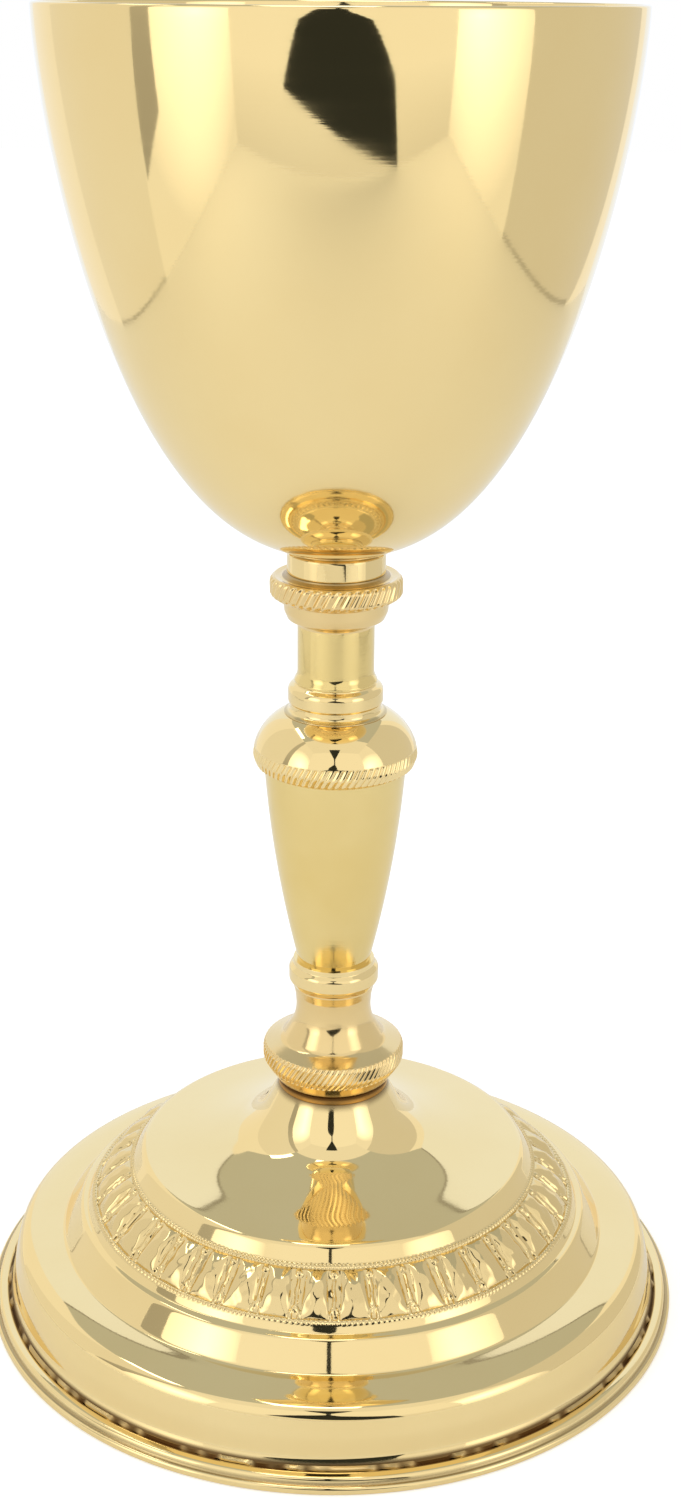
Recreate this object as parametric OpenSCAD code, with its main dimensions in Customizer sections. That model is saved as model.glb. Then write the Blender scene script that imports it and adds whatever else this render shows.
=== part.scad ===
// Communion chalice: a spun brass cup on a turned stem and a spun foot, held by one tie rod.
// The origin is on the axis at the plane the foot stands on, and +Z runs up through the cup.

/* [Cup] */
// Outside diameter of the cup at its rim
rim_d = 100; // [92:1:106]
// Height of the cup from its flat bottom to the rim
cup_h = 90.8; // [84:0.2:98]
// Thickness of the spun cup wall
cup_wall = 1; // [0.8:0.1:1.4]

/* [Stem] */
// Height of the tapered vase of the stem
vase_h = 38.5; // [34:0.5:44]
// Diameter of the vase at its top
vase_top_d = 25.9; // [25:0.1:26]
// Diameter of the vase at its foot
vase_low_d = 13.6; // [13:0.1:14]
// Widest diameter of the knop
knop_d = 30.1; // [29.4:0.1:31]
// Number of slanted flutes on the knop and on the lower collar
rope_flutes = 74; // [60:2:80]
// Number of slanted flutes on the upper collar
small_rope_flutes = 43; // [36:1:50]

/* [Foot] */
// Outside diameter of the foot at its rim ring
foot_d = 134; // [132:1:138]
// Height of the crown of the foot, where the stem stands
crown_h = 43.7; // [42:0.1:46]
// Thickness of the spun foot sheet
foot_wall = 1.2; // [1:0.1:1.4]
// Number of eggs in the stamped band
eggs = 40; // [36:1:48]

/* [Tie rod] */
// Diameter of the threaded tie rod
rod_d = 6; // [5:0.5:6]

/* [Hidden] */
$fn = 96;

// The pieces stand on one another, so each height starts where the one below ends.
washer_t = 1.4;
spool_h = 19.5;
stem_ring_h = 5.3;
knop_h = 10.5;
neck_ring_h = 5.8;
neck_h = 10.7;
collar_h = 9.6;
ferrule_h = 3.6;
flange_t = 0.6;
spool_z = crown_h + washer_t;
stem_ring_z = spool_z + spool_h;
vase_z = stem_ring_z + stem_ring_h;
knop_z = vase_z + vase_h;
neck_ring_z = knop_z + knop_h;
neck_z = neck_ring_z + neck_ring_h;
collar_z = neck_z + neck_h;
ferrule_z = collar_z + collar_h;
flange_z = ferrule_z + ferrule_h;
cup_z = flange_z + flange_t;

rod_r = rod_d / 2;
bore_r = rod_r + 0.25;
boss_r = 6.5;
boss_h = 6.7;
boss_socket_r = boss_r + 0.1;
ferrule_r = 8.8;
waist_r = 7;
neck_r = 6.92;
rim_r = rim_d / 2;
foot_r = foot_d / 2;
knop_r = knop_d / 2;
vase_top_r = vase_top_d / 2;
vase_low_r = vase_low_d / 2;
vase_wall = 1.6;
vase_belly = 0.85;
plug_t = 4;
flat_r = 8;
plate_r = 9;
plate_t = 2;
lock_t = 1.6;
nut_h = 5;
nut_af = 10;
rod_tail = 2.4;
gold = "gold";
pale_gold = "khaki";
brass = "goldenrod";
dark_brass = "darkgoldenrod";

// Points of a round stretch in the outline plane, from angle a0 to a1 in steps.
function arc(cr, cz, r, a0, a1, steps = 10) =
    [for (i = [0:steps]) let (a = a0 + (a1 - a0) * i / steps) [cr + r * cos(a), cz + r * sin(a)]];

// Outer radius of the bowl at the part t of its height, counted from where the curve would close.
// The bottom is spun flat where t reaches bowl_flat.
bowl_flat = 0.0075;
function bowl_r(t) = rim_r * pow(1 - pow(1 - t, 1.505), 0.408);

// Outline of the bowl from its flat bottom to its lip, set in by the sheet's thickness for the inside.
function bowl_outline(inset, steps) =
    [for (i = [0:steps]) let (t = bowl_flat + (1 - bowl_flat) * pow(i / steps, 1.6))
        [bowl_r(t) - inset * min(1, 0.35 + 1.6 * i / steps),
         cup_z + inset * pow(1 - i / steps, 2)
         + (cup_h - cup_wall / 2) * (t - bowl_flat) / (1 - bowl_flat)]];

function reversed(list) = [for (i = [len(list) - 1:-1:0]) list[i]];

// A piece turned about the axis from a list of [radius, height] points.
module turned(points) { rotate_extrude() polygon(points); }

module rod_bore(low, high) { translate([0, 0, low]) cylinder(r = bore_r, h = high - low); }

// Slanted round flutes around a collar: each leans along the edge as it rises.
module rope_cuts(count, band_r, band_z, cut_r, length, lean, draft) {
    for (i = [0:count - 1])
        rotate([0, 0, 360 * i / count]) translate([band_r, 0, band_z])
            rotate([-lean, draft, 0]) cylinder(r = cut_r, h = length, center = true, $fn = 16);
}

module cup() {
    color(gold) turned(concat(
        [[0, cup_z], [flat_r, cup_z]],
        bowl_outline(0, 48),
        arc(rim_r - cup_wall / 2, cup_z + cup_h - cup_wall / 2, cup_wall / 2, 15, 165, 6),
        reversed(bowl_outline(cup_wall, 40)),
        [[0, cup_z + cup_wall]]));
}

module cup_boss() {
    color(brass) difference() {
        translate([0, 0, cup_z - boss_h]) cylinder(r = boss_r, h = boss_h);
        translate([0, 0, cup_z - boss_h - 1]) cylinder(r = rod_r, h = boss_h - 0.5);
    }
}

module cup_flange() {
    color(pale_gold) turned([
        [boss_socket_r, flange_z], [ferrule_r, flange_z], [9.5, flange_z + 0.45],
        [9.95, flange_z + 0.95], [9.75, flange_z + 1.05], [9.1, flange_z + 0.75],
        [flat_r + 0.2, flange_z + flange_t], [boss_socket_r, flange_z + flange_t]]);
}

module ferrule() {
    color(gold) difference() {
        translate([0, 0, ferrule_z]) cylinder(r = ferrule_r, h = ferrule_h);
        translate([0, 0, ferrule_z - 1]) cylinder(r = boss_socket_r, h = ferrule_h + 2);
    }
}

module upper_collar() {
    z = collar_z;
    socket_z = cup_z - boss_h;
    color(pale_gold) difference() {
        turned(concat(
            [[0, z], [neck_r, z], [neck_r + 0.1, z + 0.4]],
            arc(8.5, z + 0.9, 1, 180, 110, 4),
            [[9.1, z + 2.3], [9.5, z + 3.4]],
            [[9.7, z + 4.7], [10.7, z + 5]],
            arc(9.85, z + 6.9, 2.02, -55, 52, 9),
            arc(10.1, z + 10.3, 1.5, -42, -138, 8),
            [[ferrule_r, z + collar_h], [0, z + collar_h]]));
        rod_bore(z - 1, z + collar_h + 1);
        translate([0, 0, socket_z]) cylinder(r = boss_socket_r, h = collar_h);
        rope_cuts(small_rope_flutes, 12.1, z + 7, 0.42, 5.5, 25, 0);
    }
}

module neck() {
    z = neck_z;
    color(gold) difference() {
        turned(concat(
            [[0, z], [7.5, z], [7.5, z + 0.3]],
            arc(8.92, z + 2.2, 2, 228, 180, 6),
            [[neck_r, z + neck_h], [0, z + neck_h]]));
        rod_bore(z - 1, z + neck_h + 1);
    }
}

module neck_ring() {
    z = neck_ring_z;
    color(gold) difference() {
        turned(concat(
            [[0, z], [9.4, z], [8.6, z + 0.5], [8.25, z + 1.1], [8.15, z + 1.6]],
            arc(6.55, z + 3.5, 2.05, -52, 62, 12),
            [[7.5, z + neck_ring_h], [0, z + neck_ring_h]]));
        rod_bore(z - 1, z + neck_ring_h + 1);
    }
}

// The knop is a hollow dome that stands on the top of the vase.
module knop() {
    z = knop_z;
    dome_r = 8.6;
    dome_cr = knop_r - dome_r;
    hollow_wall = 2.2;
    color(gold) difference() {
        turned(concat(
            [[0, z], [13.2, z], [14.3, z + 0.7], [14.95, z + 1.9]],
            arc(dome_cr, z + 2.4, dome_r, 4, 68, 14),
            [[9.4, z + knop_h], [0, z + knop_h]]));
        turned(concat(
            [[0, z - 1], [12, z - 1]],
            arc(dome_cr, z + 2.4, dome_r - hollow_wall, 0, 78, 10),
            [[0, z + 8.6]]));
        rod_bore(z, z + knop_h + 1);
        rope_cuts(rope_flutes, 15, z + 1.9, 0.45, 5.6, 25, 16);
    }
}

module stem_plug() {
    z = vase_z + vase_h - plug_t;
    color(brass) difference() {
        translate([0, 0, z]) cylinder(r = vase_top_r - vase_wall - 0.7, h = plug_t);
        rod_bore(z - 1, z + plug_t + 1);
    }
}

// Radius of the vase at the part t of its height: a straight taper with a slight belly.
function vase_r(t) = vase_low_r + (vase_top_r - vase_low_r) * t + vase_belly * 4 * t * (1 - t);

module stem_vase() {
    steps = 24;
    floor_t = 8;
    plug_r = vase_top_r - vase_wall - 0.7;
    color(gold) difference() {
        turned(concat(
            [[0, vase_z]],
            [for (i = [0:steps]) [vase_r(i / steps), vase_z + vase_h * i / steps]],
            [[0, vase_z + vase_h]]));
        rod_bore(vase_z - 1, vase_z + vase_h);
        turned(concat(
            [[0, vase_z + floor_t]],
            [for (i = [5:steps - 3]) [vase_r(i / steps) - vase_wall - 0.7, vase_z + vase_h * i / steps]],
            [[plug_r, vase_z + vase_h - plug_t], [plug_r, vase_z + vase_h + 1],
             [0, vase_z + vase_h + 1]]));
    }
}

module stem_ring() {
    z = stem_ring_z;
    color(gold) difference() {
        turned(concat(
            [[0, z], [7.75, z]],
            arc(6.4, z + 2.55, 2, -35, 50, 9),
            [[7.55, z + 4.5], [7.45, z + stem_ring_h], [0, z + stem_ring_h]]));
        rod_bore(z - 1, z + stem_ring_h + 1);
    }
}

// The spool runs from a narrow waist out to the wide collar whose edge is fluted.
module spool() {
    z = spool_z;
    color(pale_gold) difference() {
        turned(concat(
            [[0, z], [10.2, z], [10.9, z + 0.6], [12.2, z + 2.6]],
            arc(11.25, z + 5.2, 2.15, -58, 50, 10),
            [[12.9, z + 7.3], [11.2, z + 8.2]],
            arc(11.6, z + 13.4, 4.6, 245, 183, 10),
            [[waist_r, z + 15], [7.1, z + 16.8], [7.35, z + 18.3], [7.6, z + spool_h], [0, z + spool_h]]));
        rod_bore(z - 1, z + spool_h + 1);
        rope_cuts(rope_flutes, 13.6, z + 5.2, 0.4, 5.4, 25, 0);
    }
}

module seat_washer() {
    color(dark_brass) difference() {
        translate([0, 0, crown_h]) cylinder(r = 10.5, h = washer_t);
        rod_bore(crown_h - 1, spool_z + 1);
    }
}

// Outer outline of the foot from its crown down to the seam with the rim ring.
// The long flat skirts are coves and the short steep ones between them are rounded edges.
function foot_outline() = concat(
    [[10.4, crown_h], [14.3, 37.1]],
    [[15.1, 36], [16.4, 35.1], [18.2, 34.4]],
    [[24, 32.6], [29, 31.4]],
    arc(35.7, 28.3, 2.2, 81, 33, 5),
    [[38.8, 27.6], [46.8, 20.6], [47.2, 20.2]],
    [[47.6, 19.5], [48.1, 19.1]],
    arc(48.45, 17.7, 1.2, 73, 34, 5),
    [[52.2, 14.3], [52.6, 13.75], [53.2, 13.5], [58, 12.75]],
    arc(58.8, 8.9, 3.6, 88, 8, 8),
    [[62.5, 6.2], [62.8, 4.4], [foot_r - 3.7, 3.3]]);

function inset_outline() = concat(
    [[0, crown_h - foot_wall], [10, crown_h - foot_wall]],
    [[13.5, 36.2], [14.3, 34.9], [15.9, 33.8], [17.9, 33.1], [23.8, 31.35], [29, 30.2]],
    [[35.6, 29.2], [36.4, 28.8], [37.2, 27.4], [37.9, 26.4], [46, 19.35], [46.6, 18.5], [47.9, 17.6]],
    [[48.6, 16.9], [51.2, 13.1], [52.1, 12.3], [57.9, 11.55]],
    arc(58.6, 8.9, 2.6, 88, 8, 8),
    [[61.3, 6], [61.6, 4.2], [foot_r - 4.6, 2]]);

// One egg of the stamped band: a low bead lying down the slope of the band.
module egg() {
    band_slope = 41.5;
    translate([41.6, 0, 22.7]) rotate([0, 90 + band_slope, 0])
        cylinder(r1 = 2.2, r2 = 2.7, h = 6.8, center = true, $fn = 24);
}

module foot_shell() {
    color(gold) difference() {
        union() {
            turned(concat(
                [[0, crown_h]], foot_outline(), [[foot_r - 3.7, 2], [foot_r - 4.6, 2]],
                reversed(inset_outline())));
            intersection() {
                for (i = [0:eggs - 1]) rotate([0, 0, 360 * i / eggs]) egg();
                turned([[38.5, 28.5], [48, 20.5], [46.5, 19.6], [37, 26.9]]);
            }
        }
        rod_bore(crown_h - 3, crown_h + 1);
    }
}

module foot_rim() {
    color(gold) turned(concat(
        [[foot_r - 5.4, 0], [foot_r - 0.3, 0], [foot_r - 0.05, 0.4]],
        arc(foot_r - 0.8, 1, 0.8, -20, 80, 6),
        [[foot_r - 1.1, 1.65]],
        arc(foot_r - 2.3, 1.35, 1.3, 20, 110, 8),
        [[foot_r - 3.7, 2.5], [foot_r - 3.7, 2], [foot_r - 5.4, 2]]));
}

// Short runs of solder in the seam where the foot meets the rim ring.
module rim_solder() {
    runs = 14;
    run_angle = 15;
    color(brass) for (i = [0:runs - 1])
        rotate([0, 0, 360 * i / runs])
            rotate_extrude(angle = run_angle) polygon([
                [foot_r - 3.7, 2.5], [foot_r - 3, 2.62], [foot_r - 3.25, 2.95], [foot_r - 3.7, 3.3]]);
}

module clamp_plate() {
    z = crown_h - foot_wall - plate_t;
    color(brass) difference() {
        translate([0, 0, z]) cylinder(r = plate_r, h = plate_t);
        rod_bore(z - 1, z + plate_t + 1);
    }
}

// A split washer, cut through on one side.
module spring_washer() {
    z = crown_h - foot_wall - plate_t - lock_t;
    color("silver") difference() {
        translate([0, 0, z]) cylinder(r = 5.2, h = lock_t);
        rod_bore(z - 1, z + lock_t + 1);
        translate([0, -0.6, z - 1]) cube([8, 1.2, lock_t + 2]);
    }
}

module hex_nut() {
    z = crown_h - foot_wall - plate_t - lock_t - nut_h;
    color("silver") difference() {
        translate([0, 0, z]) cylinder(r = nut_af / 2 / cos(30), h = nut_h, $fn = 6);
        translate([0, 0, z - 1]) cylinder(r = rod_r, h = nut_h + 2);
    }
}

module tie_rod() {
    low = crown_h - foot_wall - plate_t - lock_t - nut_h - rod_tail;
    high = cup_z - 1.5;
    chamfer = 0.6;
    color("silver") turned([
        [0, low], [rod_r - chamfer, low], [rod_r, low + chamfer],
        [rod_r, high - chamfer], [rod_r - chamfer, high], [0, high]]);
}

cup();
cup_boss();
cup_flange();
ferrule();
upper_collar();
neck();
neck_ring();
knop();
stem_plug();
stem_vase();
stem_ring();
spool();
seat_washer();
foot_shell();
foot_rim();
rim_solder();
clamp_plate();
spring_washer();
hex_nut();
tie_rod();
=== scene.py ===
"""A communion chalice: turned meshes, fluted collars, a stamped foot and gold finishes."""
import math

import bmesh
import bpy
from mathutils import Euler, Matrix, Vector


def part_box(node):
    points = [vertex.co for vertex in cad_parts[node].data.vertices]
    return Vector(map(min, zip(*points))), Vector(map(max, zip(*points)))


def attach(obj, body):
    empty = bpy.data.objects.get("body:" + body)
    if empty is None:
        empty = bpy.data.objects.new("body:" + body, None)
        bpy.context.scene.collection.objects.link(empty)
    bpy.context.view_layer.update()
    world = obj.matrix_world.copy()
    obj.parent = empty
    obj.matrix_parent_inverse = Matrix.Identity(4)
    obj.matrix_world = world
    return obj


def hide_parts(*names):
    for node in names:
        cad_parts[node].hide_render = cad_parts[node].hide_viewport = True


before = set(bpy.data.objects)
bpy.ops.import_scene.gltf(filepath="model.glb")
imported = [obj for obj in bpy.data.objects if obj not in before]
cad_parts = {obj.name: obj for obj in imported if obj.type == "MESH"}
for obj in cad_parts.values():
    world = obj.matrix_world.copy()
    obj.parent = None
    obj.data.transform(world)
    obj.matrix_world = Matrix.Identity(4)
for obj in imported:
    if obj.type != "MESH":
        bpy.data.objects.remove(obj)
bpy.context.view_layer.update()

MM = 0.001
TURN = 2 * math.pi
COARSE = 480  # points in a plain ring


# ---------------------------------------------------------------- outlines


def low(node):
    """Height of a node's lowest point, in millimetres."""
    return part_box(node)[0].z / MM


def high(node):
    """Height of a node's highest point, in millimetres."""
    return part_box(node)[1].z / MM


def radius(node):
    """Largest radius of a node, in millimetres."""
    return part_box(node)[1].x / MM


def rounded(corners, step=0.12):
    """An outline through (r, z, fillet) corners, each rounded by an arc of its own fillet radius."""
    points = []
    for i, (r, z, fillet) in enumerate(corners):
        here = Vector((r, z))
        if fillet == 0 or i in (0, len(corners) - 1):
            points.append(here)
            continue
        back = (Vector(corners[i - 1][:2]) - here).normalized()
        on = (Vector(corners[i + 1][:2]) - here).normalized()
        half = back.angle(on) / 2
        run = fillet / math.tan(half)
        centre = here + (back + on).normalized() * fillet / math.sin(half)
        start, end = here + back * run - centre, here + on * run - centre
        sweep = math.pi - 2 * half
        count = max(3, math.ceil(sweep / step))
        for k in range(count + 1):
            t = k / count
            arm = (start * math.sin((1 - t) * sweep) + end * math.sin(t * sweep)) / math.sin(sweep)
            points.append(centre + arm)
    return [(p.x, p.y) for p in points]


def resampled(points, gap):
    """The same outline with no two neighbours further apart than gap."""
    out = [points[0]]
    for (r0, z0), (r1, z1) in zip(points, points[1:]):
        count = max(1, math.ceil(math.hypot(r1 - r0, z1 - z0) / gap))
        out += [(r0 + (r1 - r0) * k / count, z0 + (z1 - z0) * k / count) for k in range(1, count + 1)]
    return out


def focused(points, gap, low_z, high_z, from_r, rough=1.5):
    """The outline in steps of gap between two heights outside a radius, and in rough steps elsewhere."""
    out = [points[0]]
    for a, b in zip(points, points[1:]):
        near = min(a[1], b[1]) < high_z and max(a[1], b[1]) > low_z and max(a[0], b[0]) > from_r
        out += resampled([a, b], gap if near else rough)[1:]
    return out


def softened(points, gap, reach):
    """The same outline in even steps, with its corners blended over about reach either way."""
    even = resampled(points, gap)
    for _ in range(round(2 * (reach / gap) ** 2)):
        inner = [((a[0] + 2 * b[0] + c[0]) / 4, (a[1] + 2 * b[1] + c[1]) / 4)
                 for a, b, c in zip(even, even[1:], even[2:])]
        even = [even[0]] + inner + [even[-1]]
    return even


# ---------------------------------------------------------------- turned meshes


class Lathe:
    """Builds one turned mesh from bands of rings. Neighbouring bands may differ in segment count."""

    def __init__(self, name):
        self.name = name
        self.mesh = bmesh.new()
        self.painted_shade = []
        self.last = None
        self.first = None

    def ring(self, r, z, segments, relief=None, painted_shade=0.0):
        """Adds one ring and joins it to the ring before. The last argument, a number or a function of the
        angle, is how much painted shade darkens the ring.
        """
        if r < 1e-4:
            verts = [self.mesh.verts.new((0, 0, z * MM))]
            self.painted_shade.append(painted_shade)
        else:
            verts = []
            for k in range(segments):
                angle = TURN * k / segments
                dr, dz = relief(angle) if relief else (0, 0)
                verts.append(self.mesh.verts.new(
                    ((r + dr) * MM * math.cos(angle), (r + dr) * MM * math.sin(angle), (z + dz) * MM)))
                self.painted_shade.append(painted_shade(angle) if callable(painted_shade) else painted_shade)
        if self.last:
            self.join(self.last, verts)
        self.first = self.first or verts
        self.last = verts

    def join(self, a, b):
        """Faces between two rings, where one may have a whole number of times more points."""
        faces = self.mesh.faces
        if len(a) == len(b):
            for k in range(len(a)):
                n = (k + 1) % len(a)
                faces.new((a[k], a[n], b[n], b[k]))
            return
        fine, rough = (a, b) if len(a) > len(b) else (b, a)
        ratio = len(fine) // len(rough)
        flip = fine is b
        for k in range(len(rough)):
            first = k * ratio
            for j in range(ratio):
                trio = [fine[first + j], fine[(first + j + 1) % len(fine)], rough[k]]
                faces.new(trio[::-1] if flip else trio)
            if len(rough) > 1:
                trio = [fine[(first + ratio) % len(fine)], rough[(k + 1) % len(rough)], rough[k]]
                faces.new(trio[::-1] if flip else trio)

    def close(self):
        """Joins the last ring to the first, for an outline that is a loop."""
        self.join(self.last, self.first)

    def finish(self, material, slot, nodes, sharp=40):
        """Turns the rings into an object that replaces its CAD nodes."""
        bmesh.ops.recalc_face_normals(self.mesh, faces=self.mesh.faces)
        data = bpy.data.meshes.new(self.name)
        self.mesh.verts.index_update()
        self.mesh.to_mesh(data)
        self.mesh.free()
        data.shade_smooth()
        data.set_sharp_from_angle(angle=math.radians(sharp))
        # Each point's painted shade, for the materials to read.
        layer = data.attributes.new("painted_shade", "FLOAT", "POINT")
        layer.data.foreach_set("value", self.painted_shade)
        data.materials.append(material)
        piece = bpy.data.objects.new(self.name, data)
        bpy.context.scene.collection.objects.link(piece)
        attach(piece, "root")
        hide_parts(*nodes)


def turned(name, points, material, slot, nodes, segments=COARSE, painted_shade=None, relief=None, loop=True):
    """A turned piece from its outline, which ends where it starts, or on the axis if loop is False.

    relief(angle, r, z) gives the (dr, dz) of its cut pattern.
    """
    lathe = Lathe(name)
    for r, z in points:
        cut = (lambda angle, r=r, z=z: relief(angle, r, z)) if relief else None
        # Each ring's painted shade comes from the function given for the piece.
        lathe.ring(r, z, segments, cut, painted_shade(r, z) if painted_shade else 0.0)
    if loop:
        lathe.close()
    lathe.finish(material, slot, nodes)


def smooth(low_edge, high_edge, x):
    """Goes from 0 at the first edge to 1 at the second."""
    t = min(1, max(0, (x - low_edge) / (high_edge - low_edge)))
    return t * t * (3 - 2 * t)


def rope(count, bottom, top, band_r, depth, lean=28):
    """Slanted flutes between two heights: each leans along the edge as it rises."""
    twist = math.tan(math.radians(lean)) / band_r
    middle = (bottom + top) / 2

    def relief(angle, r, z):
        window = smooth(bottom - 0.12, bottom + 0.18, z) * (1 - smooth(top - 0.18, top + 0.12, z))
        if window == 0 or r < band_r - 3:
            return 0, 0
        phase = count * (angle - (z - middle) * twist)
        wander = 0.85 + 0.15 * math.sin(5 * angle + 1) * math.sin(11 * angle)
        groove = (0.5 + 0.5 * math.cos(phase)) ** 1.7
        return -depth * groove * window * wander, 0

    return relief


# ---------------------------------------------------------------- materials

# Dark brown used for painted shade in gaps, seams and under parts.
PAINTED_SHADE_BROWN = (0.10, 0.045, 0.012)
SCRATCH_DEPTH = 0.00002
MIX_A, MIX_B, MIX_RESULT = 6, 7, 2  # sockets of a Mix node for colours


def nodes_of(material):
    """The material's node tree, emptied but for an output, and its new shader."""
    material.use_nodes = True
    tree = material.node_tree
    tree.nodes.clear()
    out = tree.nodes.new("ShaderNodeOutputMaterial")
    shader = tree.nodes.new("ShaderNodeBsdfPrincipled")
    tree.links.new(shader.outputs["BSDF"], out.inputs["Surface"])
    return tree, shader


def noise(tree, coords, scale, detail=3, stretch=None):
    """A noise texture in object space, in cycles per metre, stretched along an axis if asked."""
    if stretch:
        mapping = tree.nodes.new("ShaderNodeMapping")
        mapping.inputs["Scale"].default_value = stretch
        tree.links.new(coords, mapping.inputs["Vector"])
        coords = mapping.outputs["Vector"]
    texture = tree.nodes.new("ShaderNodeTexNoise")
    texture.inputs["Scale"].default_value = scale
    texture.inputs["Detail"].default_value = detail
    tree.links.new(coords, texture.inputs["Vector"])
    return texture.outputs["Fac"]


def span(tree, value, low_in, high_in, low_out, high_out):
    """Maps a value from one range to another."""
    node = tree.nodes.new("ShaderNodeMapRange")
    node.inputs["From Min"].default_value = low_in
    node.inputs["From Max"].default_value = high_in
    node.inputs["To Min"].default_value = low_out
    node.inputs["To Max"].default_value = high_out
    tree.links.new(value, node.inputs["Value"])
    return node.outputs["Result"]


def mixed(tree, factor, a, b):
    """A colour between a and b. Each is a colour or a socket."""
    node = tree.nodes.new("ShaderNodeMix")
    node.data_type = "RGBA"
    tree.links.new(factor, node.inputs["Factor"])
    for socket, value in ((node.inputs[MIX_A], a), (node.inputs[MIX_B], b)):
        if isinstance(value, bpy.types.NodeSocket):
            tree.links.new(value, socket)
        else:
            socket.default_value = (*value, 1)
    return node.outputs[MIX_RESULT]


def bump(tree, height, strength, distance, under=None):
    """A bump from a height, on top of another bump if there is one."""
    node = tree.nodes.new("ShaderNodeBump")
    node.inputs["Strength"].default_value = strength
    node.inputs["Distance"].default_value = distance
    tree.links.new(height, node.inputs["Height"])
    if under:
        tree.links.new(under, node.inputs["Normal"])
    return node.outputs["Normal"]


def metal(name, colour, deep, rough, turning=0.0, hairline=0.06, cloud=0.5, wave=0.00002):
    """Polished metal: uneven colour and gloss, slow waves, hairlines, turning lines, painted shade in gaps
    and under parts.
    """
    material = bpy.data.materials.new(name)
    tree, shader = nodes_of(material)
    coords = tree.nodes.new("ShaderNodeTexCoord").outputs["Object"]
    shader.inputs["Metallic"].default_value = 1.0
    shader.inputs["Specular Tint"].default_value = (1.0, 1.0, 1.0, 1)

    patches = noise(tree, coords, 38, 4)
    tone = mixed(tree, span(tree, patches, 0.35, 0.7, 0, cloud), colour, deep)
    # Painted shade from the turned meshes' point attribute: it mixes the colour towards the dark brown and
    # makes the gloss rougher there.
    painted_shade = tree.nodes.new("ShaderNodeAttribute")
    painted_shade.attribute_name = "painted_shade"
    tone = mixed(tree, painted_shade.outputs["Fac"], tone, PAINTED_SHADE_BROWN)
    tree.links.new(tone, shader.inputs["Base Color"])

    fine = noise(tree, coords, 900, 2)
    wiped = noise(tree, coords, 60, 3, (1, 1, 6))
    gloss = tree.nodes.new("ShaderNodeMath")
    gloss.operation = "ADD"
    tree.links.new(span(tree, wiped, 0.4, 0.75, rough, rough * 1.7), gloss.inputs[0])
    tree.links.new(span(tree, painted_shade.outputs["Fac"], 0, 1, 0, 0.35), gloss.inputs[1])
    tree.links.new(gloss.outputs["Value"], shader.inputs["Roughness"])

    waves = noise(tree, coords, 42, 0)
    scratches = bump(tree, fine, hairline, SCRATCH_DEPTH, bump(tree, waves, 1.0, wave))
    if turning:
        lines = noise(tree, coords, 2600, 2, (0.02, 0.02, 1))
        scratches = bump(tree, lines, turning, SCRATCH_DEPTH, scratches)
    tree.links.new(scratches, shader.inputs["Normal"])
    return material


gold = metal("gold_polish", (0.90, 0.72, 0.37), (0.86, 0.66, 0.31), 0.035, turning=0.05, wave=0.00009)
satin = metal("gold_satin", (0.86, 0.69, 0.32), (0.80, 0.61, 0.24), 0.085, turning=0.12, cloud=0.9)
cup_gold = metal("cup_gold", (0.90, 0.72, 0.37), (0.87, 0.67, 0.32), 0.045, turning=0.08, wave=0.00007)
fluted_gold = metal("fluted_gold", (0.86, 0.67, 0.34), (0.76, 0.54, 0.24), 0.12, hairline=0.3)
# Brass painted darker than the other brass, for the shade of the gap above the foot where the washer sits.
shaded_gap_brass = metal("shaded_gap_brass", (0.52, 0.30, 0.09), (0.32, 0.15, 0.04), 0.22, hairline=0.4)
raw_brass = metal("raw_brass", (0.72, 0.53, 0.25), (0.58, 0.40, 0.16), 0.25, turning=0.5, hairline=0.4)
solder_gold = metal("solder_gold", (0.84, 0.64, 0.30), (0.55, 0.36, 0.13), 0.14, hairline=0.9, cloud=0.9)
zinc = metal("zinc_steel", (0.62, 0.62, 0.62), (0.50, 0.51, 0.52), 0.28, turning=0.6, hairline=0.3)

# ---------------------------------------------------------------- cup

RIM_R = radius("cup")
CUP_Z = low("cup")
CUP_H = high("cup") - CUP_Z
WALL = 1.0
BOWL_FLAT = 0.0075  # part of the bowl's height cut off by its flat bottom


def bowl_radius(t):
    """Outer radius of the bowl at the part t of its height, as in the CAD design."""
    return RIM_R * (1 - (1 - t) ** 1.505) ** 0.408


def bowl(inset, steps):
    """Outline of the bowl from its flat bottom to its lip, set in by inset for the inside."""
    points = []
    for i in range(steps + 1):
        s = i / steps
        t = BOWL_FLAT + (1 - BOWL_FLAT) * s ** 1.6
        r = bowl_radius(t) - inset * min(1, 0.35 + 1.6 * s)
        rise = (CUP_H - WALL / 2) * (t - BOWL_FLAT) / (1 - BOWL_FLAT)
        points.append((r, CUP_Z + inset * (1 - s) ** 2 + rise))
    return points


def cup_outline():
    """The whole closed section: outside, lip, inside."""
    lip_r, lip_z = RIM_R - WALL / 2, CUP_Z + CUP_H - WALL / 2
    lip = [(lip_r + WALL / 2 * math.cos(a), lip_z + WALL / 2 * math.sin(a))
           for a in [math.pi * k / 12 for k in range(1, 12)]]
    bottom = [(0, CUP_Z), (3, CUP_Z), (6, CUP_Z), (7.6, CUP_Z)]
    inside = softened(bowl(WALL, 60)[::-1] + [(0, CUP_Z + WALL)], 1.4, 2.6)
    return bottom + bowl(0, 105) + lip + inside


# Painted shade on the underside of the bowl, out to about the edge of the seat dish below it.
turned("cup_bowl", cup_outline(), cup_gold, "gold_polish", ["cup"], loop=False,
       painted_shade=lambda r, z: 0.8 * (1 - smooth(9.2, 10.2, r)) if z < CUP_Z + 0.7 else 0)

# ---------------------------------------------------------------- stem, from the top down

SOCKET_R = 6.6  # hole for the boss under the cup
BORE_R = 3.25  # hole for the rod
UPPER_FLUTES = 43
FLUTES = 74


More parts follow.
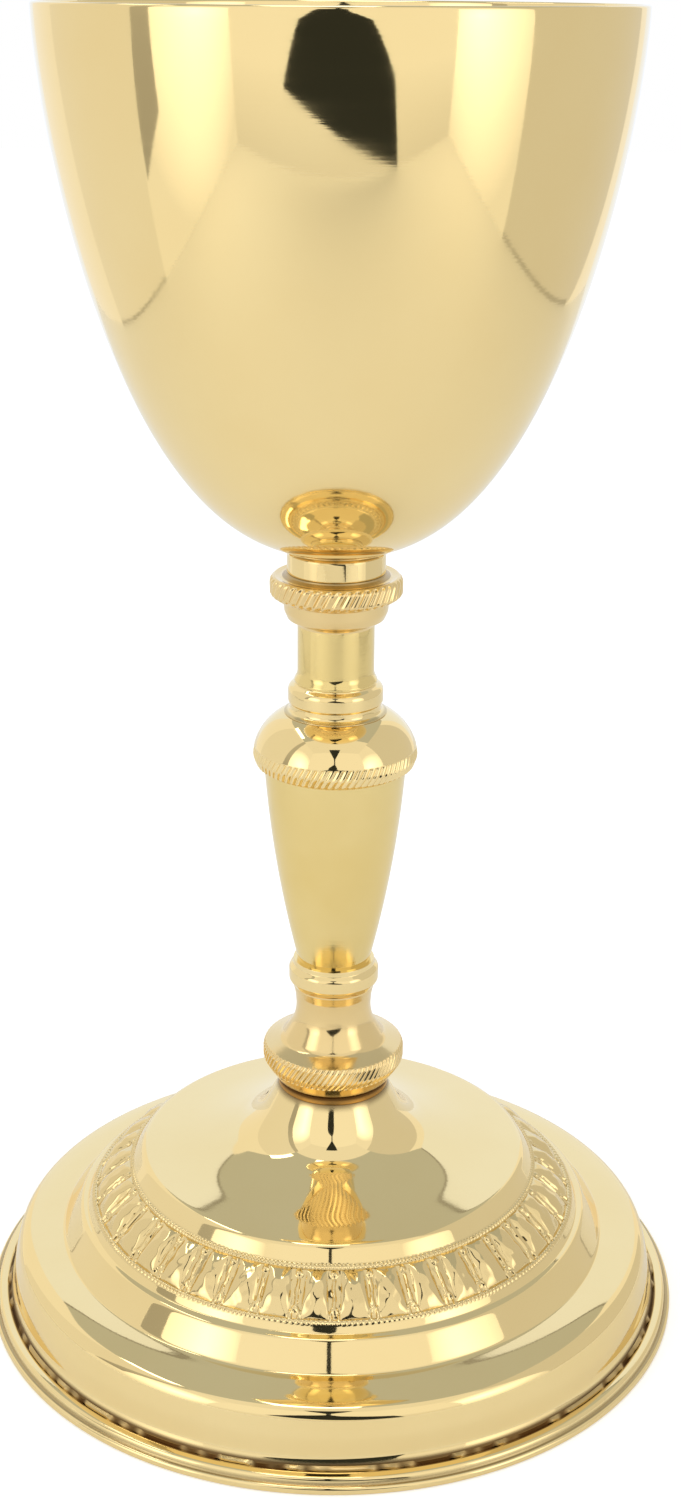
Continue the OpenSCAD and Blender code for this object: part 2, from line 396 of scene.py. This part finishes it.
def flange():
    """Thin dish right under the cup."""
    z = low("cup_flange")
    outline = rounded([
        (SOCKET_R, z, 0), (8.8, z, 0.1), (9.2, z + 0.2, 0.5), (9.95, z + 0.93, 0.08),
        (9.75, z + 1.03, 0.08), (9.1, z + 0.74, 0.6), (8.2, z + 0.6, 0.3), (SOCKET_R, z + 0.6, 0)], 0.3)
    # Painted shade on the outer edge of the dish's underside.
    turned("seat_dish", resampled(outline, 0.3), gold, "gold_polish", ["cup_flange"],
           painted_shade=lambda r, z1: 0.35 if z1 < z + 0.05 and r > 8.7 else 0)


def ferrule():
    """Short polished cylinder with barely broken edges."""
    z, top, r = low("ferrule"), high("ferrule"), radius("ferrule")
    outline = rounded([(SOCKET_R, z, 0), (r, z, 0.15), (r, top, 0.12), (SOCKET_R, top, 0)], 0.3)
    # Painted shade along the lower edge of the ferrule's outside.
    turned("ferrule_ring", resampled(outline, 0.3), gold, "gold_polish", ["ferrule"],
           painted_shade=lambda r1, z1: 0.7 * (1 - smooth(z, z + 0.25, z1)) if r1 > 8 else 0)


def upper_collar():
    """Small fluted collar: a cove on top, a step below and a cove into the neck."""
    z, top, socket_z = low("upper_collar"), high("upper_collar"), low("cup_boss")
    outline = rounded([
        (BORE_R, z, 0), (6.92, z, 0), (6.97, z + 0.5, 1.2), (8.7, z + 1.2, 0.5), (9.3, z + 2.6, 0.5),
        (9.5, z + 4.6, 0.35), (10.6, z + 4.9, 0.35), (11.86, z + 5.7, 0.9), (11.86, z + 8.4, 1.0),
        (11.1, z + 9.05, 0.35), (9.9, z + 8.75, 0.9), (8.9, z + 9.3, 0.3), (8.8, top, 0.1),
        (SOCKET_R, top, 0), (SOCKET_R, socket_z, 0), (BORE_R, socket_z, 0)])
    # Painted shade in the small cove at the top of the collar.
    turned("upper_fluted_collar", focused(outline, 0.12, z + 4.9, z + 9, 9), fluted_gold,
           "gold_polish", ["upper_collar"], segments=UPPER_FLUTES * 18,
           painted_shade=lambda r, z1: 0.45 if z1 > z + 8.5 and 8.6 < r < 9.6 else 0,
           relief=rope(UPPER_FLUTES, z + 5.1, z + 8.75, 11.8, 0.42))


def neck():
    """Turned neck that flares at its lower end."""
    z, top = low("neck"), high("neck")
    outline = rounded([
        (BORE_R, z, 0), (7.5, z, 0.12), (7.5, z + 0.45, 0.3), (6.92, z + 1.5, 2.2), (6.92, top, 0.08),
        (BORE_R, top, 0)])
    turned("neck_tube", resampled(outline, 1), satin, "gold_satin", ["neck"])


def neck_ring():
    """Rounded ring with a cove below it."""
    z, top = low("neck_ring"), high("neck_ring")
    outline = rounded([
        (BORE_R, z, 0), (9.4, z, 0.1), (9.3, z + 0.2, 0.1), (8.3, z + 0.7, 0.6), (8.25, z + 1.9, 0.25),
        (8.62, z + 2.2, 0.5), (8.62, z + 4.9, 1.25), (7.5, z + 5.6, 0.4), (7.45, top, 0.05),
        (BORE_R, top, 0)])
    # Painted shade round the outer edge of the ring's underside.
    turned("neck_ring_turned", resampled(outline, 0.5), gold, "gold_polish", ["neck_ring"],
           painted_shade=lambda r, z1: 0.3 if z1 < z + 0.5 and r > 8 else 0)


def knop():
    """Hollow dome with a fluted edge."""
    z, top = low("knop"), high("knop")
    outline = rounded([
        (BORE_R, z + 8.6, 0), (8.6, z + 8.5, 3.0), (12.6, z + 3.6, 3.0), (12, z, 0), (13.15, z, 0.15),
        (14.4, z + 0.7, 0.7), (15.05, z + 2.4, 1.6), (14.75, z + 4.3, 0.8), (13.43, z + 8.6, 10.0),
        (9.35, top, 0.25), (BORE_R, top, 0)], 0.05)
    turned("knop_dome", focused(outline, 0.14, z + 0.2, z + 4.3, 13), gold, "gold_polish", ["knop"],
           segments=FLUTES * 12, relief=rope(FLUTES, z + 0.35, z + 4.1, 14.9, 0.33))


def vase():
    """Tapered stem with a slight belly, hollow from its top down to a solid foot."""
    z, top = low("stem_vase"), high("stem_vase")
    wide, narrow, belly = radius("stem_vase"), 6.8, 0.85
    steps = 60
    side = [(narrow + (wide - narrow) * t + belly * 4 * t * (1 - t), z + (top - z) * t)
            for t in (k / steps for k in range(steps + 1))]
    mouth = wide - 2.3
    inside = [(mouth, top), (mouth, top - 4), (10.0, top - 12), (6.2, z + 12), (BORE_R, z + 8)]
    turned("vase_stem", [(BORE_R, z)] + side + resampled(inside, 1.0), satin, "gold_satin", ["stem_vase"])


def stem_ring():
    """Small rounded ring between the vase and the spool."""
    z, top = low("stem_ring"), high("stem_ring")
    outline = rounded([
        (BORE_R, z, 0), (7.7, z, 0.1), (8.45, z + 1.2, 0.9), (8.45, z + 3.6, 1.1), (7.7, z + 4.35, 0.2),
        (7.6, top, 0.1), (BORE_R, top, 0)])
    turned("stem_ring_turned", resampled(outline, 0.5), gold, "gold_polish", ["stem_ring"])


def spool():
    """Waist that sweeps out to the wide collar, whose edge is fluted above a plain band."""
    z, top = low("spool"), high("spool")
    outline = rounded([
        (BORE_R, z, 0), (10.2, z, 0.1), (11.1, z + 0.7, 0.4), (12.4, z + 2.7, 0.4), (13.4, z + 4.3, 1.6),
        (13.4, z + 6.6, 1.0), (13.05, z + 7.35, 0.35), (9.7, z + 8.6, 2.2), (7.45, z + 12.3, 5.0),
        (7.0, z + 14.9, 8.0), (7.25, z + 17.6, 4.0), (7.62, z + 19.2, 0.3), (7.62, top, 0.05),
        (BORE_R, top, 0)], 0.07)
    turned("waist_spool", focused(outline, 0.14, z + 2.7, z + 7.5, 11), fluted_gold, "gold_polish",
           ["spool"], segments=FLUTES * 10, relief=rope(FLUTES, z + 2.85, z + 7.35, 13.3, 0.3, 33))


def seat_washer():
    """Washer in the dark gap above the foot."""
    z, top = low("seat_washer"), high("seat_washer")
    outline = rounded([(BORE_R, z, 0), (10.5, z, 0.15), (10.5, top, 0.3), (BORE_R, top, 0)], 0.3)
    # Darker brass for painted shade, and more painted shade on the upper outer edge, under the spool.
    turned("gap_washer", resampled(outline, 0.4), shaded_gap_brass, "dark_brass", ["seat_washer"],
           painted_shade=lambda r, z1: 0.9 * smooth(z + 0.5, z + 1.2, z1) if r > 10 else 0)


for build in (flange, ferrule, upper_collar, neck, neck_ring, knop, vase, stem_ring, spool, seat_washer):
    build()

# ---------------------------------------------------------------- foot

CROWN_Z = high("foot_shell")
SHEET = 1.2
SEAM_R = 63.3  # where the sheet ends, at the rim ring
EGGS = 40
FINE = EGGS * 36  # points in a ring of the stamped band
BAND_STEPS = 60  # rings across the band outside
LINING_STEPS = 24  # and inside the sheet
BAND_TOP = (38.8, 27.5)
BAND_FOOT = (47.0, 20.35)
BAND_RUN = math.hypot(BAND_FOOT[0] - BAND_TOP[0], BAND_FOOT[1] - BAND_TOP[1])
BAND_DOWN = ((BAND_FOOT[0] - BAND_TOP[0]) / BAND_RUN, (BAND_FOOT[1] - BAND_TOP[1]) / BAND_RUN)
BAND_OUT = (-BAND_DOWN[1], BAND_DOWN[0])
DART_ANGLE = -TURN / 4 + math.radians(0.7)
MILL = 8  # milled notches to an egg
BORDER = 0.95  # width of a milled line


def hump(x, half_width):
    """A rounded bump from 1 in the middle to 0 at the half width."""
    return max(0.0, 1 - (x / half_width) ** 2)


def crinkle(angle, s):
    """Small unevenness of the stamping, between -1 and 1, finer than an egg."""
    first = math.sin(53 * angle + 0.7 * s) * math.sin(1.1 * s + 3 * math.sin(19 * angle))
    second = math.sin(89 * angle - 1.2 * s + 1) * math.cos(0.8 * s + 2 * math.sin(31 * angle))
    return 0.6 * first + 0.4 * second


def stamp(angle, s):
    """Height of the stamped pattern in millimetres, at an angle and a distance s down the band."""
    pitch = TURN / EGGS
    turn = (angle - DART_ANGLE) / pitch
    dart_at = math.floor(turn + 0.5)
    cell = turn - dart_at
    number = dart_at % EGGS
    arc_mm = pitch * (BAND_TOP[0] + BAND_DOWN[0] * s)
    from_dart = cell * arc_mm
    from_egg = (0.5 - abs(cell)) * arc_mm
    drift = 0.12 * math.sin(2.4 * number + 1)
    uneven = crinkle(angle, s)
    from_dart += 0.2 * uneven

    milled = 0.5 + 0.5 * math.cos(TURN * MILL * (turn + 0.05 * math.sin(3 * turn)) + 0.9 * s)
    edge = min(s, BAND_RUN - s)
    if edge < BORDER:
        line = hump(edge - BORDER / 2, BORDER / 2) ** 0.7
        return line * (0.04 + 0.26 * milled)

    ends = BORDER + 0.12
    along = (s - ends) / (BAND_RUN - 2 * ends)
    along = min(1.0, max(0.0, along))
    half = 1.9 + 0.9 * along + 0.25 * math.sin(1.7 * number)
    side = hump(from_egg + drift, half)
    length = math.sin(math.pi * along) ** 0.62 if 0 < along < 1 else 0.0
    egg = (1.0 + 0.1 * uneven) * side ** 0.62 * length

    bead = hump(math.hypot(from_dart, s - ends - 0.75), 0.62) ** 0.5
    shaft = hump(from_dart, 0.3 + 0.1 * along) ** 0.7
    shaft = shaft * smooth(0.14, 0.2, along) * (1 - smooth(0.78, 0.95, along))
    barb_s = BAND_RUN - ends - 1.5
    spread = 0.18 + 0.42 * max(0, min(1.4, s - barb_s + 0.7))
    barb = hump(abs(from_dart) - spread, 0.3) ** 0.6 * smooth(barb_s - 0.9, barb_s - 0.3, s)
    dart = 0.42 * max(bead, shaft * 0.9, barb)
    ground = -0.34 + 0.05 * uneven
    return ground + max(egg, dart)


def foot_profile():
    """Outer outline of the foot above and below the stamped band."""
    z = CROWN_Z
    crown = rounded([(BORE_R, z, 0), (10.4, z, 0.15), (10.9, z - 0.9, 0)], 0.3)
    dome = rounded([
        (10.9, z - 0.9, 0), (14.9, z - 8.4, 11), (25, z - 11.8, 50), (36.8, z - 13.4, 2.2),
        BAND_TOP + (0,)], 0.02)
    below = rounded([
        BAND_FOOT + (0,), (47.8, z - 24.6, 0.5), (49.1, z - 24.9, 1.2), (52.6, z - 29.7, 0.9),
        (57.2, z - 30.0, 20), (61.1, z - 30.95, 2.8), (62.35, z - 35.7, 4.0), (62.6, z - 39.1, 2.5),
        (SEAM_R, z - 40.5, 0)], 0.06)
    return resampled(crown, 0.5) + softened(dome, 0.35, 0.8)[1:], softened(below, 0.3, 0.5)


def foot_inside():
    """Inner outline of the sheet: from the seam up to the band, and from the band up to the rod."""
    z = CROWN_Z
    low_part = rounded([
        (SEAM_R, z - 41.7, 0), (62.4, z - 41.7, 0), (61.4, z - 39.2, 2.5), (61.15, z - 35.9, 3.0),
        (59.9, z - 32.3, 1.9), (51.6, z - 31.1, 1.0), (48.4, z - 26.4, 1.0), (47.0, z - 25.9, 0.6),
        (BAND_FOOT[0] - 0.8, BAND_FOOT[1] - 0.9, 0)], 0.1)
    high_part = rounded([
        (BAND_TOP[0] - 0.8, BAND_TOP[1] - 0.9, 0), (36.2, z - 14.6, 1.2), (24, z - 12.8, 60),
        (14.4, z - 9.4, 3.0), (10.0, z - SHEET, 0.4), (BORE_R, z - SHEET, 0)], 0.04)
    return resampled(low_part, 2), resampled(high_part, 2)


def band_ring(lathe, s, inset, segments, strength, painted_shade):
    """One ring of the stamped band, a distance s down it and set in from the outside by inset."""
    r = BAND_TOP[0] + BAND_DOWN[0] * s - BAND_OUT[0] * inset
    z = BAND_TOP[1] + BAND_DOWN[1] * s - BAND_OUT[1] * inset

    def relief(angle):
        rise = strength * stamp(angle, s)
        return BAND_OUT[0] * rise, BAND_OUT[1] * rise

    # The last argument is the ring's painted shade.
    lathe.ring(r, z, segments, relief, painted_shade)


def foot():
    """The spun foot: a dome and steps with the stamped band between, and the inside of the sheet."""
    lathe = Lathe("stamped_foot")
    above, below = foot_profile()
    seam_low, dome_up = foot_inside()
    # Painted shade on the dome next to the washer, under the spool.
    for r, z in above[:-1]:
        lathe.ring(r, z, COARSE, painted_shade=0.85 * smooth(11.2, 10.3, r) if r > 9 else 0)
    # A little painted shade all over the stamped band.
    for k in range(BAND_STEPS + 1):
        strength = 0.0 if k in (0, BAND_STEPS) else 1.0
        band_ring(lathe, BAND_RUN * k / BAND_STEPS, 0, FINE, strength, 0.12)
    # Painted shade low on the wall, next to the seam.
    for r, z in below[1:]:
        lathe.ring(r, z, COARSE, painted_shade=0.9 * smooth(CROWN_Z - 39.6, CROWN_Z - 40.3, z))
    # Painted shade all over the inside of the sheet, under the foot.
    for r, z in seam_low[:-1]:
        lathe.ring(r, z, COARSE, painted_shade=0.5)
    for k in range(LINING_STEPS + 1):
        strength = 0.0 if k in (0, LINING_STEPS) else 0.6
        band_ring(lathe, BAND_RUN * (1 - k / LINING_STEPS), SHEET, COARSE, strength, 0.4)
    for r, z in dome_up[1:]:
        lathe.ring(r, z, COARSE, painted_shade=0.4)
    lathe.close()
    lathe.finish(gold, "gold_polish", ["foot_shell"], 50)


def foot_rim():
    """Rim ring the chalice stands on: a rounded top, a fine groove and an outer face."""
    r, top = radius("foot_rim"), high("foot_rim")
    outline = rounded([
        (r - 5.4, 0, 0), (r - 0.1, 0, 0.45), (r - 0.05, 1.45, 0.6), (r - 0.85, 1.5, 0.12),
        (r - 1.05, 1.72, 0.1), (r - 1.35, top - 0.05, 0.75), (r - 2.8, top + 0.1, 0.8),
        (r - 3.6, top - 0.3, 0.2), (r - 3.7, 2.0, 0), (r - 5.4, 2.0, 0)])

    # Painted shade on the inner shelf under the foot's wall, and lighter painted shade in the fine groove.
    def crevice_shade(r1, z):
        if r1 < r - 3.4 and z > 1.9:
            return 0.8
        return 0.5 if 1.45 < z < 1.8 and r1 > r - 1.3 else 0

    turned("rim_ring", resampled(outline, 0.6), gold, "gold_polish", ["foot_rim"], painted_shade=crevice_shade)


def solder():
    """Uneven runs of solder in the seam, swelling and thinning round it."""
    z = high("foot_rim")
    lathe = Lathe("seam_solder")

    def flow(angle):
        long_waves = math.sin(7 * angle) + math.sin(17 * angle + 2)
        short_waves = 0.8 * math.sin(41 * angle + 1) + 0.5 * math.sin(97 * angle)
        return 0.5 + 0.5 * math.tanh(1.8 * (long_waves + short_waves))

    # Painted shade between the runs of solder, darkest where the solder thins.
    def crevice_shade(angle):
        return 1 - 0.75 * flow(angle)

    section = [(63.28, z - 0.5, 0), (63.45, z - 0.15, 0.25), (63.85, z - 0.05, 0.5), (63.8, z + 0.25, 0.6),
               (63.5, z + 0.5, 0.4), (63.28, z + 0.65, 0.1)]
    for r, height, swell in section:
        def relief(angle, swell=swell):
            return swell * 0.8 * (flow(angle) - 0.75), swell * 0.7 * (flow(angle + 0.01) - 0.6)
        lathe.ring(r, height, COARSE * 3, relief, crevice_shade)
    lathe.close()
    lathe.finish(solder_gold, "solder", ["rim_solder"])


foot()
foot_rim()
solder()

# ---------------------------------------------------------------- hidden hardware, as designed

for node, finish in (("cup_boss", raw_brass), ("stem_plug", raw_brass), ("clamp_plate", raw_brass),
                     ("spring_washer", zinc), ("hex_nut", zinc), ("tie_rod", zinc)):
    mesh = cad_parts[node].data
    mesh.materials.clear()
    mesh.materials.append(finish)

# ---------------------------------------------------------------- stage

LEFT, RIGHT, FRONT, BACK, TOP = -390, 430, -500, 700, 700
WARM = (1.0, 0.985, 0.95)
WHITE = (1.0, 1.0, 1.0)
DARK = (0.9, 1.0, 0.95)
COOL = (0.82, 0.88, 1.0)
PALE = (0.93, 0.98, 1.0)


def emitter(name, colour, strength, hot=None, low_part=None):
    """Light for a card. hot is (centre, radius, extra) and low_part (height, strength at the floor)."""
    material = bpy.data.materials.new(name)
    material.use_nodes = True
    tree = material.node_tree
    tree.nodes.clear()
    out = tree.nodes.new("ShaderNodeOutputMaterial")
    glow = tree.nodes.new("ShaderNodeEmission")
    glow.inputs["Color"].default_value = (*colour, 1)
    glow.inputs["Strength"].default_value = strength
    coords = tree.nodes.new("ShaderNodeTexCoord").outputs["Object"]
    if hot:
        centre, reach, extra = hot
        away = tree.nodes.new("ShaderNodeVectorMath")
        away.operation = "DISTANCE"
        away.inputs[1].default_value = [c * MM for c in centre]
        tree.links.new(coords, away.inputs[0])
        level = span(tree, away.outputs["Value"], 0, reach * MM, strength + extra, strength)
        tree.links.new(level, glow.inputs["Strength"])
    if low_part:
        height, floor_level = low_part
        parts = tree.nodes.new("ShaderNodeSeparateXYZ")
        tree.links.new(coords, parts.inputs[0])
        level = span(tree, parts.outputs["Z"], 0, height * MM, floor_level, strength)
        tree.links.new(level, glow.inputs["Strength"])
    tree.links.new(glow.outputs["Emission"], out.inputs["Surface"])
    return material


def card(name, corners, material):
    """A flat panel of the light tent that only shows in reflections."""
    data = bpy.data.meshes.new(name)
    data.from_pydata([tuple(c * MM for c in corner) for corner in corners], [], [list(range(len(corners)))])
    data.materials.append(material)
    panel = bpy.data.objects.new(name, data)
    bpy.context.scene.collection.objects.link(panel)
    panel.visible_camera = False


def side_card(name, x, outline, material):
    """A card in a side wall, outlined by (y, z) points."""
    card(name, [(x, y, z) for y, z in outline], material)


def front_card(name, y, outline, material):
    """A card in the front or the back wall, outlined by (x, z) points."""
    card(name, [(x, y, z) for x, z in outline], material)


def top_card(name, z, outline, material):
    """A card in the ceiling, outlined by (x, y) points."""
    card(name, [(x, y, z) for x, y in outline], material)


def tent():
    """Bright cloth all round, duller side panels, a dim ceiling with lamps, and a gap in front."""
    wall = [(FRONT, 0), (BACK, 0), (BACK, TOP), (FRONT, TOP)]
    side_card("left_wall", LEFT, wall,
              emitter("left_cloth", WARM, 1.0, hot=((LEFT, -330, 250), 270, 1.3)))
    side_card("right_wall", RIGHT, wall,
              emitter("right_cloth", WARM, 1.0, hot=((RIGHT, -380, 230), 270, 1.3)))
    side_card("left_panel", LEFT + 2, [(-60, 0), (260, 0), (300, TOP - 40), (-100, TOP - 40), (-100, 200)],
              emitter("left_panel_cloth", WARM, 0.9))
    side_card("left_fold", LEFT + 3, [(-100, 200), (-80, 80), (-160, 120), (-160, TOP), (-100, TOP)],
              emitter("fold_cloth", WARM, 0.55, low_part=(320, 0.38)))
    bend = 170
    rounded_corner = [(330 + bend * math.sin(a), bend - bend * math.cos(a))
                      for a in [TURN / 4 * k / 8 for k in range(9)]]
    side_card("right_panel", RIGHT - 2, [(-150, 0)] + rounded_corner + [(330 + bend, TOP), (-190, TOP)],
              emitter("right_panel_cloth", WARM, 0.74))
    hem = emitter("hem_cloth", WARM, 0.5)
    side_card("left_hem", LEFT + 4, [(-60, 1), (260, 1), (260, 4), (-60, 4)], hem)
    side_card("right_hem", RIGHT - 4, [(-150, 1), (330, 1), (330, 6), (-150, 6)], hem)
    front_card("back_wall", BACK, [(LEFT, 0), (RIGHT, 0), (RIGHT, TOP), (LEFT, TOP)],
               emitter("back_cloth", COOL, 1.17))
    front_card("back_seam", BACK - 2, [(LEFT, TOP - 14), (RIGHT, TOP - 14), (RIGHT, TOP), (LEFT, TOP)],
               emitter("seam_cloth", WARM, 0.3))
    front_card("curtains", FRONT, [(LEFT, 0), (RIGHT, 0), (RIGHT, TOP), (LEFT, TOP)],
               emitter("curtain_cloth", WARM, 1.05, low_part=(120, 0.85)))
    room = emitter("dark_room", DARK, 0.035)
    waist = 15
    front_card("opening", FRONT + 3, [
        (-180, 95), (0, 45), (200, 0), (170, 110), (80, 210), (25, 265), (0, 340), (0, 460), (60, TOP),
        (-80, TOP), (-waist, 460), (-waist, 340), (-85, 265)], room)
    top_card("ceiling", TOP, [(LEFT, FRONT), (RIGHT, FRONT), (RIGHT, BACK), (LEFT, BACK)],
             emitter("ceiling_cloth", PALE, 0.6))
    top_card("front_ceiling", TOP - 1, [(LEFT, FRONT), (RIGHT, FRONT), (RIGHT, -120), (LEFT, -120)],
             emitter("front_ceiling_cloth", WARM, 0.95))
    top_card("ceiling_gap", TOP - 2, [(-80, FRONT), (60, FRONT), (70, -400), (-90, -400)], room)
    lamp = emitter("lamp", WHITE, 4.0)
    top_card("top_lamp", TOP - 3, [(-130, -115), (60, -115), (60, 60), (-130, 60)], lamp)
    top_card("left_lamp", TOP - 4, [(LEFT, -20), (LEFT + 50, -20), (LEFT + 50, 300), (LEFT, 300)], lamp)


def floor():
    """Pale floor, lifted to near white where the camera sees it."""
    data = bpy.data.meshes.new("floor")
    data.from_pydata([(-3, -3, 0), (3, -3, 0), (3, 3, 0), (-3, 3, 0)], [], [(0, 1, 2, 3)])
    paint = bpy.data.materials.new("floor_paint")
    tree, shader = nodes_of(paint)
    shader.inputs["Base Color"].default_value = (0.78, 0.78, 0.775, 1)
    shader.inputs["Roughness"].default_value = 0.95
    shader.inputs["Specular IOR Level"].default_value = 0.1
    shader.inputs["Emission Color"].default_value = (1, 1, 1, 1)
    path = tree.nodes.new("ShaderNodeLightPath")
    lift = span(tree, path.outputs["Is Camera Ray"], 0, 1, 0.16, 0.45)
    tree.links.new(lift, shader.inputs["Emission Strength"])
    data.materials.append(paint)
    ground = bpy.data.objects.new("floor", data)
    ground.location = (0, 0, -0.00005)
    scene.collection.objects.link(ground)


def surroundings():
    """White for the camera, and a little dimmer for what misses the tent."""
    world = bpy.data.worlds.new("studio")
    scene.world = world
    world.use_nodes = True
    tree = world.node_tree
    tree.nodes.clear()
    out = tree.nodes.new("ShaderNodeOutputWorld")
    sky = tree.nodes.new("ShaderNodeBackground")
    path = tree.nodes.new("ShaderNodeLightPath")
    tree.links.new(span(tree, path.outputs["Is Camera Ray"], 0, 1, 0.9, 1.0), sky.inputs["Strength"])
    sky.inputs["Color"].default_value = (1, 1, 1, 1)
    tree.links.new(sky.outputs["Background"], out.inputs["Surface"])


def camera():
    """The view the part is shown from: close, a little above the cup's rim, looking down."""
    data = bpy.data.cameras.new("camera")
    data.sensor_width = 36
    data.lens = 50.86
    data.shift_x = 0.0035
    data.clip_start = 0.01
    eye = bpy.data.objects.new("camera", data)
    eye.location = (0, -0.3637, 0.243)
    downward, roll = 19.91, 0.4
    eye.rotation_euler = Euler((math.radians(90 - downward), 0, 0))
    eye.rotation_euler.rotate_axis("Z", math.radians(roll))
    scene.collection.objects.link(eye)
    scene.camera = eye


scene = bpy.context.scene
scene.view_settings.view_transform = "Standard"
tent()
floor()
surroundings()
camera()
